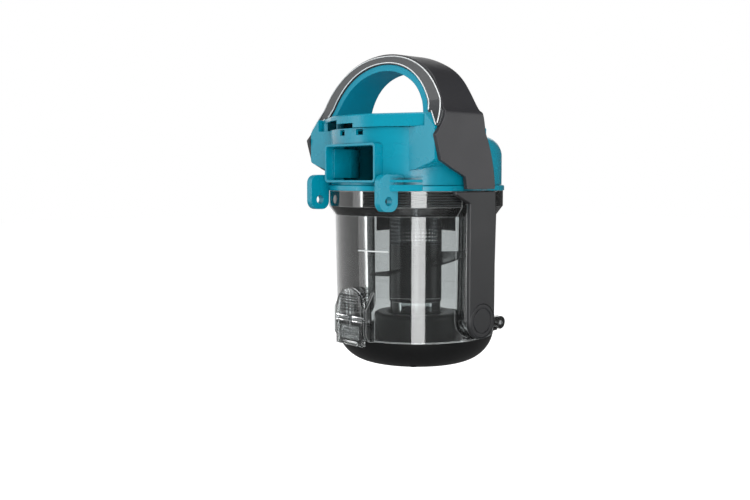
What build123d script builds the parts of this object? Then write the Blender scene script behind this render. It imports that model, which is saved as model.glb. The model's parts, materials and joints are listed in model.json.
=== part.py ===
from build123d import *
from math import copysign, cos, radians, sin
import os

# Removable dust container of a canister vacuum cleaner, in millimetres.
# +Z is up, the inlet faces -Y and the lid's hinge is at +Y.
# The origin is the centre of the bottom lid's resting face, on the axis of the bin.

# ---------------------------------------------------------------- driving sizes
lid_height = 25.0           # resting face up to the joint between lid and bin
bin_height = 135.7          # that joint up to the seam with the upper unit
bin_radius = 74.3           # outside of the bin at its bottom edge
bin_draft = 2.1             # growth of the radius up to the shoulder
collar_radius = 82.5        # outside of the straight collar at the top of the bin
collar_height = 14.5
shoulder_height = 8.3
bin_wall = 2.2
half_width = 90.0           # middle plane out to the flat side panels
panel_wall = 4.0
housing_radius = 81.0
housing_wall = 2.5
hoop_rise = 84.0            # handle hoop, from its springing line to the apex
hoop_spring = 39.3          # springing line above the seam
tube_radius = 25.0          # central tube of the cyclone
tube_wall = 1.5
outlet_radius = 16.0        # air outlet through the lid

# ---------------------------------------------------------------- fits and gaps
parting = 0.4               # between bodies that close on each other
seam_line = 0.3             # visible line between pieces of one body
pin_fit = 0.05              # running clearance of a pin, on the radius
press_fit = 0.01            # held pin or screw, on the radius
seal_gap = 0.3              # relaxed seal to the face that it closes on

# ---------------------------------------------------------------- heights
z_joint = lid_height
z_bin = z_joint + parting
z_seam = z_joint + bin_height
z_bin_top = z_seam - parting
z_collar = z_seam - collar_height
z_shoulder = z_collar - shoulder_height
z_hoop = z_seam + hoop_spring

# ---------------------------------------------------------------- bottom lid
lid_flat_radius = 50.0
lid_wall = 2.4
lid_rim_width = 4.8
lid_floor_height = 17.0
plateau_radius = 40.0
plateau_height = 37.0
collar_height_top = 44.5    # crest of the ring round the cup's seat
crest_radius = 4.5
cup_collar_gap = 1.6
gasket_width = 2.2
gasket_depth = 2.0
lid_screw_circle = 53.0
lid_screws_count = 4
lid_boss_radius = 4.0

# ---------------------------------------------------------------- lid hinge
hinge_offset = 9.7          # bin's bottom edge back to the hinge axis
hinge_rise = 3.5            # joint up to the hinge axis
hinge_y = bin_radius + hinge_offset
hinge_z = z_joint + hinge_rise
knuckle_radius = 5.5
ear_radius = 6.5
hinge_pin_radius = 2.0
ear_inner = 29.0
ear_thickness = 6.0
hinge_side_gap = 0.5

# ---------------------------------------------------------------- release button
button_half_width = 18.0
button_low = z_joint - 3.6
button_high = z_joint + 48.0
button_front = 8.5          # bin's bottom edge forward to the button's front face
button_plate = 2.2
button_skirt = 2.0
pivot_forward = 3.75        # bin's bottom edge forward to the pivot
pivot_rise = 20.0           # joint up to the pivot
button_pin_radius = 1.25
hub_radius = 2.8
guard_gap = 1.2
guard_wall = 3.2
catch_half_width = 8.5
catch_reach = 2.5           # lid's rim forward to the tip of its catch
catch_thickness = 3.0
spring_wire = 0.35
spring_turns = 4

# ---------------------------------------------------------------- side straps
strap_front = -20.0
strap_back = 13.0
strap_boss_z = z_joint + 20.7
cap_radius = 15.0
cap_button_radius = 10.6
cap_depth = 2.0
screw_radius = 1.5
screw_head_radius = 3.2
screw_head_height = 1.1
screw_length = 9.0

# ---------------------------------------------------------------- upper unit
skirt_radius = 83.5
skirt_height = 4.8
seal_ring_gap = 0.4
seal_rib_count = 5
duct_half_width = 35.0
duct_low = z_seam + 7.3
duct_high = z_seam + 41.8
duct_front = 82.3
duct_wall = 2.0
duct_depth = 21.0
plate_low = z_seam + 55.8
plate_high = z_seam + 67.3
plate_half_width = 73.0
plate_corner_y = -55.0
plate_prow_y = -84.0
notch_left = -17.0          # notches in the front wall of the top plate
notch_right = 7.0
notch_back = -60.0
notch_depth = 4.0
side_notch_depth = 7.5
dome_start = z_seam + 29.3
dome_top = z_seam + 50.3
dome_radius = 62.0
cheek_front = -60.0
slot_offset = 12.0
slot_width = 8.0
slot_height = 5.0
lug_inner = 44.5
lug_thickness = 7.0
lug_front = -90.5
lug_back = -70.0
lug_low = z_seam - 17.7
lug_corner = 8.0
lug_high = z_seam + 14.3
lug_bore_radius = 4.0
lug_bore_y = -80.5
lug_bore_z = z_seam - 8.7

# ---------------------------------------------------------------- handle
grip_outer_width = 72.8     # outside of the teal insert, half width at the springing line
grip_outer_rise = 75.0
grip_width = 66.7           # finger opening, half width at the springing line
grip_rise = 69.0
handle_wall = 2.6
hoop_squareness = 0.93        # 1 is an ellipse, less is squarer
hoop_reach = 110.0          # half depth of the blocks that the side outline trims
foot_half_width = plate_half_width + 0.4   # where the handle's sloping feet meet the top plate
trim_back = -30.0
trim_thickness = 1.4
trim_margin = 1.6

# ---------------------------------------------------------------- cyclone
tube_low = z_joint + 30.0
screen_low = z_joint + 84.0
screen_high = z_collar + 1.3
vortex_radius = 39.5
vortex_high = z_seam + 44.0
baffle_low = z_joint + 96.0
baffle_wall = 2.0
cup_wall = 1.6
cup_inset = 1.0             # cup's outside to the tube's outside
fin_outer_radius = 44.0
fin_thickness = 2.0
fin_pitch = 41.0
fin_sweep = 200.0           # degrees round the tube
fin_start = -145.0          # direction of its low end
fin_low = z_joint + 53.0

os.makedirs("parts", exist_ok=True)


def save(builder, name):
    """Labels a finished piece and writes it as its own STEP file."""
    builder.part.label = name
    export_step(builder.part, f"parts/{name}.step")


def ring(*corners):
    """Half section of a turned piece, given as (radius, height) corners."""
    with BuildSketch(Plane.XZ) as section:
        with BuildLine():
            Polyline(*corners, close=True)
        make_face()
    return section.sketch


# ================================================================ bin (root body)
def bin_section(inset, low, high):
    """Half section of the bin's solid form, pulled in by inset."""
    bottom = bin_radius - inset
    shoulder = bin_radius + bin_draft - inset
    collar = collar_radius - inset
    return ring((0, low), (bottom, low), (shoulder, z_shoulder), (collar, z_collar), (collar, high), (0,
    high))


def strap_face(plane, inset=0.0):
    """Side strap seen from the side: straight edges over a round lower end."""
    middle = (strap_front + strap_back) / 2
    radius = (strap_back - strap_front) / 2
    with BuildSketch(plane) as outline:
        with BuildLine():
            Line((strap_front, z_bin_top), (strap_front, strap_boss_z))
            ThreePointArc((strap_front, strap_boss_z), (middle, strap_boss_z - radius), (strap_back,
            strap_boss_z))
            Line((strap_back, strap_boss_z), (strap_back, z_bin_top))
            Line((strap_back, z_bin_top), (strap_front, z_bin_top))
        make_face()
        if inset:
            offset(amount=-inset)
    return outline.sketch


strap_middle = (strap_front + strap_back) / 2
strap_inside = half_width - panel_wall
pivot_y = -bin_radius - pivot_forward
pivot_z = z_joint + pivot_rise
guard_inner = button_half_width + guard_gap
guard_outer = guard_inner + guard_wall

with BuildPart() as bin_shell:
    extrude(strap_face(Plane.YZ), amount=strap_inside, both=True)
    extrude(strap_face(Plane.YZ, bin_wall), amount=strap_inside, both=True, mode=Mode.SUBTRACT)
    # bosses that take the strap screws
    with BuildSketch(Plane.YZ):
        with Locations((strap_middle, strap_boss_z)):
            Circle(screw_head_radius + 1.3)
    extrude(amount=strap_inside, both=True)
    # ears of the lid hinge
    for side in (-1, 1):
        with BuildSketch(Plane.YZ.offset(side * ear_inner)):
            with Locations((hinge_y, hinge_z)):
                Circle(ear_radius)
            with BuildLine():
                Polyline((bin_radius - 15, z_bin), (hinge_y, z_bin), (hinge_y, hinge_z + ear_radius),
                         (bin_radius - 15, hinge_z + ear_radius), close=True)
            make_face()
        extrude(amount=side * ear_thickness)
    # guards beside the release button, which hold its pivot pin
    for side in (-1, 1):
        with BuildSketch(Plane.YZ.offset(side * guard_inner)):
            with BuildLine():
                Polyline((pivot_y + 20, z_bin), (pivot_y + 1, z_bin), (pivot_y - 3.4, z_bin + 6),
                         (pivot_y - 3.4, pivot_z + 10), (pivot_y + 6, button_high - 3),
                         (pivot_y + 20, button_high - 3), close=True)
            guard = make_face()
            fillet(guard.vertices().group_by(Axis.Y)[0], radius=2.5)
        extrude(amount=side * guard_wall)
    revolve(bin_section(0, z_bin, z_bin_top), axis=Axis.Z)
    revolve(bin_section(bin_wall, z_bin - 1, z_bin_top + 1), axis=Axis.Z, mode=Mode.SUBTRACT)
    with BuildSketch(Plane.YZ):
        with Locations((strap_middle, strap_boss_z)):
            Circle(screw_radius + press_fit)
    extrude(amount=strap_inside, both=True, mode=Mode.SUBTRACT)
    # the screw holes stop in the bosses, so the bin's wall is made whole again
    revolve(ring((bin_radius - bin_wall + 0.1, z_bin + 1), (bin_radius + 0.4, z_bin + 1),
                 (bin_radius + 0.4, strap_boss_z + 20), (bin_radius - bin_wall + 0.6, strap_boss_z + 20)),
            axis=Axis.Z)
    with BuildSketch(Plane.YZ):
        with Locations((hinge_y, hinge_z)):
            Circle(hinge_pin_radius + press_fit)
        with Locations((pivot_y, pivot_z)):
            Circle(button_pin_radius + press_fit)
    extrude(amount=ear_inner + ear_thickness, both=True, mode=Mode.SUBTRACT)
save(bin_shell, "bin_shell")

for side, name in ((-1, "left"), (1, "right")):
    inner_plane = Plane.YZ.offset(side * strap_inside)
    outer_plane = Plane.YZ.offset(side * half_width)
    with BuildPart() as strap:
        extrude(strap_face(inner_plane), amount=side * panel_wall)
        # wing that carries the strap's top edge forward under the skirt
        with BuildSketch(inner_plane):
            with BuildLine():
                Polyline((strap_front + 1, z_bin_top), (strap_front - 18, z_bin_top),
                         (strap_front - 18, z_bin_top - 2.5), (strap_front + 1, z_bin_top - 11), close=True)
            make_face()
        extrude(amount=side * panel_wall)
        outer_face = strap.faces().filter_by(Axis.X).sort_by(Axis.X)[-1 if side > 0 else 0]
        chamfer(outer_face.edges(), length=0.8)
        with BuildSketch(outer_plane):
            with Locations((strap_middle, strap_boss_z)):
                Circle(cap_radius + seam_line)
        extrude(amount=-side * cap_depth, mode=Mode.SUBTRACT)
        with BuildSketch(outer_plane):
            with Locations((strap_middle, strap_boss_z)):
                Circle(screw_radius + 0.25)
        extrude(amount=-side * panel_wall, mode=Mode.SUBTRACT)
    save(strap, f"strap_{name}")

    with BuildPart() as strap_cap:
        with BuildSketch(outer_plane):
            with Locations((strap_middle, strap_boss_z)):
                Circle(cap_radius)
        extrude(amount=-side * cap_depth)
        rim = strap_cap.edges().filter_by(GeomType.CIRCLE).sort_by(Axis.X)[-1 if side > 0 else 0]
        chamfer(rim, length=0.5)
        # groove between the outer ring and the round centre
        with BuildSketch(outer_plane):
            with Locations((strap_middle, strap_boss_z)):
                Circle(cap_button_radius + 1.2)
                Circle(cap_button_radius, mode=Mode.SUBTRACT)
        extrude(amount=-side * 0.9, mode=Mode.SUBTRACT)
        # pocket over the screw head
        with BuildSketch(Plane.YZ.offset(side * (half_width - cap_depth))):
            with Locations((strap_middle, strap_boss_z)):
                Circle(screw_head_radius + 0.4)
        extrude(amount=side * (screw_head_height + 0.2), mode=Mode.SUBTRACT)
    save(strap_cap, f"strap_cap_{name}")

with BuildPart() as strap_screws:
    for side in (-1, 1):
        seat = Plane.YZ.offset(side * (half_width - cap_depth))
        with BuildSketch(seat):
            with Locations((strap_middle, strap_boss_z)):
                Circle(screw_head_radius)
        extrude(amount=side * screw_head_height)
        with BuildSketch(seat):
            with Locations((strap_middle, strap_boss_z)):
                Circle(screw_radius)
        extrude(amount=-side * screw_length)
save(strap_screws, "strap_screws")


def cross_pin(radius, length, y, z):
    """Round pin along X, with its ends broken."""
    with BuildPart() as pin:
        with BuildSketch(Plane.YZ.offset(-length / 2)):
            with Locations((y, z)):
                Circle(radius)
        extrude(amount=length)
        chamfer(pin.edges().filter_by(GeomType.CIRCLE), length=0.3)
    return pin


save(cross_pin(hinge_pin_radius, 2 * (ear_inner + ear_thickness) - 1, hinge_y, hinge_z), "lid_hinge_pin")
save(cross_pin(button_pin_radius, 2 * guard_outer - 1, pivot_y, pivot_z), "button_pin")

spring_mean = button_pin_radius + 0.35 + spring_wire
spring_length = spring_turns * 3 * spring_wire
with BuildPart() as button_spring:
    with BuildLine() as coil:
        spring_end = (-spring_length / 2, pivot_y, pivot_z)
        Helix(pitch=3 * spring_wire, height=spring_length, radius=spring_mean, center=spring_end,
                direction=(1, 0, 0))
    with BuildSketch(Plane(origin=coil.line @ 0, z_dir=coil.line % 0)):
        Circle(spring_wire)
    sweep(is_frenet=True)
save(button_spring, "button_spring")

# ================================================================ bottom lid
lid_rim_inner = bin_radius - lid_rim_width
catch_tip = -bin_radius - catch_reach
tube_top = plateau_height
gasket_inner = bin_radius - bin_wall - 1.4

with BuildPart() as lid_shell:
    with BuildSketch(Plane.XZ):
        with BuildLine():
            Line((0, 0), (lid_flat_radius, 0))
            ThreePointArc((lid_flat_radius, 0), (lid_flat_radius + 16, 9), (bin_radius, z_joint))
            Line((bin_radius, z_joint), (0, z_joint))
            Line((0, z_joint), (0, 0))
        make_face()
    revolve(axis=Axis.Z)
    # hinge arm and knuckle
    with BuildSketch(Plane.YZ):
        with Locations((hinge_y, hinge_z)):
            Circle(knuckle_radius)
        with BuildLine():
            Polyline((lid_rim_inner, z_joint - 6), (hinge_y + 2, z_joint - 5), (hinge_y + 4, z_joint),
                     (lid_rim_inner, z_joint), close=True)
        make_face()
    extrude(amount=ear_inner - hinge_side_gap, both=True)
    # catch that the release button holds
    with BuildSketch(Plane.YZ):
        with BuildLine():
            Polyline((-lid_rim_inner, z_joint), (catch_tip, z_joint - 0.2), (catch_tip,
                    z_joint - catch_thickness),
                     (-lid_rim_inner, z_joint - 9), close=True)
        make_face()
    extrude(amount=catch_half_width, both=True)
    # hollow inside
    with BuildSketch(Plane.XZ):
        with BuildLine():
            Line((0, lid_wall), (lid_flat_radius, lid_wall))
            ThreePointArc((lid_flat_radius, lid_wall), (lid_flat_radius + 13.6, 10.4), (lid_rim_inner,
            z_joint))
            Line((lid_rim_inner, z_joint), (0, z_joint))
            Line((0, z_joint), (0, lid_wall))
        make_face()
    revolve(axis=Axis.Z, mode=Mode.SUBTRACT)
    # outlet pipe and screw bosses
    with BuildSketch(Plane.XY):
        Circle(outlet_radius + 2)
    extrude(amount=tube_top)
    with BuildSketch(Plane.XY.offset(lid_wall / 2)):
        with PolarLocations(lid_screw_circle, lid_screws_count, start_angle=45):
            Circle(lid_boss_radius)
    extrude(amount=lid_floor_height - 2 - lid_wall / 2)
    with BuildSketch(Plane.XY.offset(lid_wall)):
        with PolarLocations(lid_screw_circle, lid_screws_count, start_angle=45):
            Circle(screw_radius + press_fit)
    extrude(amount=lid_floor_height, mode=Mode.SUBTRACT)
    with BuildSketch(Plane.XY):
        Circle(outlet_radius)
    extrude(amount=tube_top, mode=Mode.SUBTRACT)
    revolve(ring((gasket_inner, z_joint), (gasket_inner + gasket_width, z_joint),
                 (gasket_inner + gasket_width, z_joint - gasket_depth), (gasket_inner,
                 z_joint - gasket_depth)),
            axis=Axis.Z, mode=Mode.SUBTRACT)
    with BuildSketch(Plane.YZ):
        with Locations((hinge_y, hinge_z)):
            Circle(hinge_pin_radius + pin_fit)
    extrude(amount=ear_inner, both=True, mode=Mode.SUBTRACT)
save(lid_shell, "lid_shell")

plate_rim = lid_rim_inner - seam_line
plateau_wall = 2.4
outlet_hole = outlet_radius + 2 + seam_line
cup_outer = tube_radius - cup_inset
seat_inner = cup_outer - cup_wall - 0.8
seat_outer = cup_outer + 0.8
collar_inner = cup_outer + cup_collar_gap
with BuildPart() as lid_plate:
    revolve(ring((plate_rim, z_joint), (plate_rim - 3, z_joint), (plate_rim - 6, lid_floor_height + 1),
                 (plateau_radius + 4, lid_floor_height), (plateau_radius, lid_floor_height + 2),
                 (plateau_radius, collar_height_top), (collar_inner, collar_height_top),
                 (collar_inner, plateau_height), (outlet_hole, plateau_height),
                 (outlet_hole, plateau_height - plateau_wall), (collar_inner + plateau_wall,
                 plateau_height - plateau_wall),
                 (collar_inner + plateau_wall + 2, collar_height_top - plateau_wall - 1),
                 (plateau_radius - plateau_wall - 2, collar_height_top - plateau_wall - 1),
                 (plateau_radius - plateau_wall, lid_floor_height),
                 (plateau_radius + 3, lid_floor_height - 2), (plate_rim - 6, lid_floor_height - 1.2),
                 (plate_rim - 3.2, z_joint - 2), (plate_rim, z_joint - 1.6)), axis=Axis.Z)
    # rounded crest of the ring that centres the cup as the lid closes
    crest = lid_plate.edges().filter_by(GeomType.CIRCLE).group_by(Axis.Z)[-1]
    fillet(crest, radius=crest_radius)
    revolve(ring((seat_inner, plateau_height), (seat_outer, plateau_height), (seat_outer,
            plateau_height - 1),
                 (seat_inner, plateau_height - 1)), axis=Axis.Z, mode=Mode.SUBTRACT)
    with BuildSketch(Plane.XY.offset(lid_floor_height - 4)):
        with PolarLocations(lid_screw_circle, lid_screws_count, start_angle=45):
            Circle(screw_radius + 0.25)
    extrude(amount=8, mode=Mode.SUBTRACT)
save(lid_plate, "lid_plate")

with BuildPart() as lid_gasket:
    gasket_top = z_bin - seal_gap
    gasket_low = z_joint - gasket_depth
    revolve(ring((gasket_inner + 0.1, gasket_low), (gasket_inner + gasket_width - 0.1, gasket_low),
                 (gasket_inner + gasket_width - 0.1, gasket_top - 0.4),
                 (gasket_inner + gasket_width - 0.5, gasket_top),
                 (gasket_inner + 0.5, gasket_top), (gasket_inner + 0.1, gasket_top - 0.4)), axis=Axis.Z)
save(lid_gasket, "lid_gasket")

cup_low = plateau_height + 0.5
with BuildPart() as outlet_gasket:
    revolve(ring((seat_inner + 0.1, plateau_height - 1), (seat_outer - 0.1, plateau_height - 1),
                 (seat_outer - 0.1, cup_low - seal_gap), (seat_inner + 0.1, cup_low - seal_gap)),
                 axis=Axis.Z)
save(outlet_gasket, "outlet_gasket")

screw_seat = lid_floor_height + 1
with BuildPart() as lid_screws:
    with BuildSketch(Plane.XY.offset(screw_seat)):
        with PolarLocations(lid_screw_circle, lid_screws_count, start_angle=45):
            Circle(screw_head_radius)
    extrude(amount=screw_head_height)
    with BuildSketch(Plane.XY.offset(screw_seat)):
        with PolarLocations(lid_screw_circle, lid_screws_count, start_angle=45):
            Circle(screw_radius)
    extrude(amount=-screw_length)
save(lid_screws, "lid_screws")

# ================================================================ release button
button_y = -bin_radius - button_front
catch_gap = catch_tip - parting


def button_face(plane, inset=0.0):
    """Front of the button: straight sides under a half-round top."""
    half = button_half_width - inset
    spring_line = button_high - button_half_width
    with BuildSketch(plane) as outline:
        with BuildLine():
            Line((-half, button_low + inset), (half, button_low + inset))
            Line((half, button_low + inset), (half, spring_line))
            ThreePointArc((half, spring_line), (0, spring_line + half), (-half, spring_line))
            Line((-half, spring_line), (-half, button_low + inset))
        make_face()
    return outline.sketch


with BuildPart() as release_button:
    front_plane = Plane.XZ.offset(-button_y)
    extrude(button_face(front_plane), amount=-(pivot_y - 0.6 - button_y))
    extrude(button_face(Plane.XZ.offset(-button_y - button_plate), button_skirt), amount=-20,
            mode=Mode.SUBTRACT)
    # hubs on the pivot pin
    for side in (-1, 1):
        with BuildSketch(Plane.YZ.offset(side * (spring_length / 2 + 1.2))):
            with Locations((pivot_y, pivot_z)):
                Circle(hub_radius)
            with Locations(((button_y + pivot_y) / 2 + 0.5, pivot_z)):
                Rectangle(pivot_y - button_y - 1, 2 * hub_radius)
        extrude(amount=side * (button_half_width - spring_length / 2 - 1.2))
    with BuildSketch(Plane.YZ):
        with Locations((pivot_y, pivot_z)):
            Circle(button_pin_radius + pin_fit)
    extrude(amount=button_half_width + 1, both=True, mode=Mode.SUBTRACT)
    # grip ribs across the upper half
    for rib in range(5):
        with BuildSketch(Plane.XY.offset(pivot_z + 7 + 4 * rib)):
            with Locations((0, button_y)):
                Rectangle(2 * button_half_width - 16, 1.2)
        extrude(amount=1.2)
    # nib that closes under the lid's catch
    with BuildSketch(Plane.YZ):
        with BuildLine():
            Polyline((button_y + 0.5, button_low), (catch_gap, button_low), (catch_gap, button_low + 1.6),
                     (button_y + 0.5, button_low + 5), close=True)
        make_face()
    extrude(amount=catch_half_width, both=True)
save(release_button, "release_button")

# ================================================================ upper unit: ring, skirt and lugs
plug_radius = collar_radius - bin_wall - seal_ring_gap
plug_wall = 3.2
rib_pitch = (collar_height - 3.0) / seal_rib_count
plug_low = z_collar + 0.6
skirt_top = z_seam + skirt_height
flange_radius = skirt_radius - 4
with BuildPart() as seal_ring:
    revolve(ring((plug_radius - plug_wall, plug_low), (plug_radius - 1.2, plug_low), (plug_radius - 1.2,
            z_seam),
                 (flange_radius, z_seam), (flange_radius, z_seam + 1.5),
                 (plug_radius - plug_wall, z_seam + 1.5)), axis=Axis.Z)
    for rib in range(seal_rib_count):
        low = plug_low + 0.6 + rib * rib_pitch
        revolve(ring((plug_radius - 2, low), (plug_radius, low), (plug_radius, low + 1.1),
                (plug_radius - 2, low + 1.1)),
                axis=Axis.Z)
save(seal_ring, "seal_ring")

with BuildPart() as bin_seal:
    low = plug_low + 0.6 + (seal_rib_count - 1) * rib_pitch + 1.1
    revolve(ring((plug_radius - 1.2, low), (plug_radius + 0.1, low), (plug_radius + 0.1, low + 0.6),
                 (plug_radius - 1.2, low + 0.6)), axis=Axis.Z)
save(bin_seal, "bin_seal")

with BuildPart() as skirt_ring:
    revolve(ring((plug_radius - plug_wall, z_seam + 1.6), (flange_radius + 0.1, z_seam + 1.6),
                 (flange_radius + 0.1, z_seam), (skirt_radius, z_seam), (skirt_radius, skirt_top - 0.8),
                 (skirt_radius - 0.8, skirt_top), (plug_radius - plug_wall, skirt_top)), axis=Axis.Z)
save(skirt_ring, "skirt_ring")

for side, name in ((-1, "left"), (1, "right")):
    outer = side * (lug_inner + lug_thickness)
    with BuildPart() as lug:
        with BuildSketch(Plane.YZ.offset(side * lug_inner)):
            with Locations(((lug_front + lug_back) / 2, (lug_low + lug_high) / 2)):
                RectangleRounded(lug_back - lug_front, lug_high - lug_low, lug_corner)
            with Locations((lug_back + 2, (z_seam + lug_high) / 2)):
                Rectangle(16, lug_high - z_seam)
        extrude(amount=side * lug_thickness)
        # ribbed wedge between the lug and the drum
        with BuildSketch(Plane.XY.offset(z_seam)):
            with BuildLine():
                Polyline((side * lug_inner, lug_front + 11), (outer, lug_front + 11), (outer + side * 13,
                        lug_back + 17),
                         (outer, lug_back + 20), (side * lug_inner, lug_back + 20), close=True)
            make_face()
        extrude(amount=lug_high - 2 - z_seam)
        for slot in range(2):
            with BuildSketch(Plane.XY.offset(skirt_top + 0.7 + 4.2 * slot)):
                with BuildLine():
                    Polyline((outer, lug_front + 5), (outer + side * 20, lug_front + 5),
                             (outer + side * 20, lug_back + 30), (outer, lug_back + 30), close=True)
                make_face()
            extrude(amount=2.2, mode=Mode.SUBTRACT)
        # room for the drum above the skirt, the skirt itself and the bin's collar below it
        for low, high, radius in (
            (skirt_top, skirt_top + 30, housing_radius + seam_line),
            (z_seam, skirt_top, skirt_radius),
            (z_seam - 30, z_seam, collar_radius + parting),
        ):
            with BuildSketch(Plane.XY.offset(low)):
                Circle(radius)
            extrude(amount=high - low, mode=Mode.SUBTRACT)
        with BuildSketch(Plane.YZ):
            with Locations((lug_bore_y, lug_bore_z)):
                Circle(lug_bore_radius)
        extrude(amount=2 * outer, mode=Mode.SUBTRACT)
    save(lug, f"lug_{name}")

# ================================================================ upper unit: housing
housing_low = skirt_top + seam_line
sector_back = -8.0


def drum(inset, low):
    """Drum with a domed top behind and a straight wall in front, pulled in by inset."""
    with BuildPart() as form:
        with BuildSketch(Plane.XZ):
            with BuildLine():
                outside = housing_radius - inset
                crown = dome_radius - inset
                ceiling = dome_top - inset
                bulge = (crown + 0.72 * (outside - crown), dome_start + 0.72 * (ceiling - dome_start))
                Line((0, low), (outside, low))
                Line((outside, low), (outside, dome_start))
                ThreePointArc((outside, dome_start), bulge, (crown, ceiling))
                Line((crown, ceiling), (0, ceiling))
                Line((0, ceiling), (0, low))
            make_face()
        revolve(axis=Axis.Z)
        with BuildSketch(Plane.XY.offset(low)):
            Circle(housing_radius - inset)
            with Locations((0, sector_back - inset + housing_radius)):
                Rectangle(4 * housing_radius, 2 * housing_radius, mode=Mode.SUBTRACT)
        extrude(amount=plate_low - seam_line - inset - low)
    return form.part


def plate_face(height, inset=0.0):
    """Outline of the top plate: a low prow in front and a round back, pulled in by inset."""
    with BuildSketch(Plane.XY.offset(height)) as outline:
        with BuildLine():
            Line((-plate_half_width, plate_corner_y), (-30, plate_prow_y + 5))
            ThreePointArc((-30, plate_prow_y + 5), (0, plate_prow_y), (30, plate_prow_y + 5))
            Line((30, plate_prow_y + 5), (plate_half_width, plate_corner_y))
            Line((plate_half_width, plate_corner_y), (plate_half_width, -4))
            ThreePointArc((plate_half_width, -4), (0, 40), (-plate_half_width, -4))
            Line((-plate_half_width, -4), (-plate_half_width, plate_corner_y))
        make_face()
        if inset:
            offset(amount=-inset)
    return outline.sketch


cheek_out = strap_inside - seam_line
cheek_high = z_seam + 66.8
slope_end = z_seam + 54.3
with BuildPart() as housing:
    add(drum(0, housing_low))
    # neck that closes the space between the dome and the top plate
    extrude(plate_face(dome_top - 2, 14), amount=plate_low - seam_line - dome_top + 2)
    # cheeks that carry the handle's side panels
    for side in (-1, 1):
        with BuildSketch(Plane.XZ.offset(-cheek_front)):
            with BuildLine():
                Polyline((side * 45, z_seam + 17), (side * 62, z_seam + 19), (side * 82, z_seam + 25),
                         (side * cheek_out, z_seam + 27.5), (side * cheek_out, slope_end),
                         (side * (plate_half_width + 0.5), cheek_high), (side * (plate_half_width + 0.5),
                         plate_low),
                         (side * 45, plate_low - seam_line), close=True)
            make_face()
        extrude(amount=-64)
    with BuildSketch(Plane.XY.offset(housing_low - 1)):
        with Locations((0, cheek_front + 64 + 100)):
            Rectangle(400, 200)
        Circle(housing_radius, mode=Mode.SUBTRACT)
    extrude(amount=100, mode=Mode.SUBTRACT)
    add(drum(housing_wall, housing_low - 1), mode=Mode.SUBTRACT)
    # mouth for the inlet duct
    with BuildSketch(Plane.XZ.offset(40)):
        with Locations((0, (duct_low + duct_high) / 2)):
            RectangleRounded(2 * duct_half_width + 0.4, duct_high - duct_low + 0.4, 3.7)
    extrude(amount=60, mode=Mode.SUBTRACT)
    # two slots under the top plate, which the cleaner's body hooks into
    with BuildSketch(Plane.XZ.offset(60)):
        with Locations((-slot_offset, plate_low - 4), (slot_offset, plate_low - 4)):
            Rectangle(slot_width, slot_height)
    extrude(amount=40, mode=Mode.SUBTRACT)
save(housing, "housing")

plate_boss_radius = 4.0
plate_screw_seat = plate_high - 1.6
plate_screw_places = [(x, y) for x in (-50, 50) for y in (-52, 4)]
with BuildPart() as top_plate:
    extrude(plate_face(plate_low), amount=plate_high - plate_low)
    upper_edges = top_plate.faces().sort_by(Axis.Z)[-1].edges()
    chamfer(upper_edges, length=1.2)
    # hollow from below, over the drum's flat front
    extrude(plate_face(plate_low, housing_wall), amount=plate_high - plate_low - housing_wall,
            mode=Mode.SUBTRACT)
    # notch over the hook slots, and a deeper one along the left of the prow
    for left, right, depth in ((notch_left, notch_right, notch_depth), (-plate_half_width - 1,
            notch_left, side_notch_depth)):
        with BuildSketch(Plane.XY.offset(plate_low)):
            with Locations(((left + right) / 2, notch_back - 20)):
                Rectangle(right - left, 40)
        extrude(amount=depth, mode=Mode.SUBTRACT)
    with BuildSketch(Plane.XY.offset(plate_low)):
        with Locations(*plate_screw_places):
            Circle(plate_boss_radius)
    extrude(amount=plate_high - plate_low - 1)
    with BuildSketch(Plane.XY.offset(plate_low)):
        with Locations(*plate_screw_places):
            Circle(screw_radius + press_fit)
    extrude(amount=plate_high - plate_low, mode=Mode.SUBTRACT)
    with BuildSketch(Plane.XY.offset(plate_screw_seat)):
        with Locations(*plate_screw_places):
            Circle(screw_head_radius + 0.3)
    extrude(amount=5, mode=Mode.SUBTRACT)
save(top_plate, "top_plate")

with BuildPart() as plate_screws:
    with BuildSketch(Plane.XY.offset(plate_screw_seat)):
        with Locations(*plate_screw_places):
            Circle(screw_head_radius)
    extrude(amount=screw_head_height)
    with BuildSketch(Plane.XY.offset(plate_screw_seat)):
        with Locations(*plate_screw_places):
            Circle(screw_radius)
    extrude(amount=-screw_length)
save(plate_screws, "plate_screws")

with BuildPart() as inlet_duct:
    duct_middle = (duct_low + duct_high) / 2
    duct_height = duct_high - duct_low
    with BuildSketch(Plane.XZ.offset(duct_front)):
        with Locations((0, duct_middle)):
            RectangleRounded(2 * duct_half_width, duct_height, 3.5)
            RectangleRounded(2 * (duct_half_width - duct_wall), duct_height - 2 * duct_wall, 2,
            mode=Mode.SUBTRACT)
    extrude(amount=-duct_depth)
save(inlet_duct, "inlet_duct")

# curved vane that turns the air from the duct into the drum
guide_low = duct_low + duct_wall + 2
guide_high = duct_high - duct_wall - 2
with BuildPart() as inlet_guide:
    with BuildSketch(Plane.XY.offset(guide_low)):
        with BuildLine():
            left = -duct_half_width + duct_wall + seam_line
            front = -duct_front + 8
            Line((left, front), (left, front + 20))
            ThreePointArc((left, front + 20), (left - 9, front + 36), (left - 22, front + 46))
            Line((left - 22, front + 46), (left - 21, front + 48))
            ThreePointArc((left - 21, front + 48), (left - 7, front + 37.2), (left + 2, front + 20))
            Line((left + 2, front + 20), (left + 2, front))
            Line((left + 2, front), (left, front))
        make_face()
    extrude(amount=guide_high - guide_low)
save(inlet_guide, "inlet_guide")

# ================================================================ upper unit: handle
handle_span = 2 * (half_width + 1)


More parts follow.
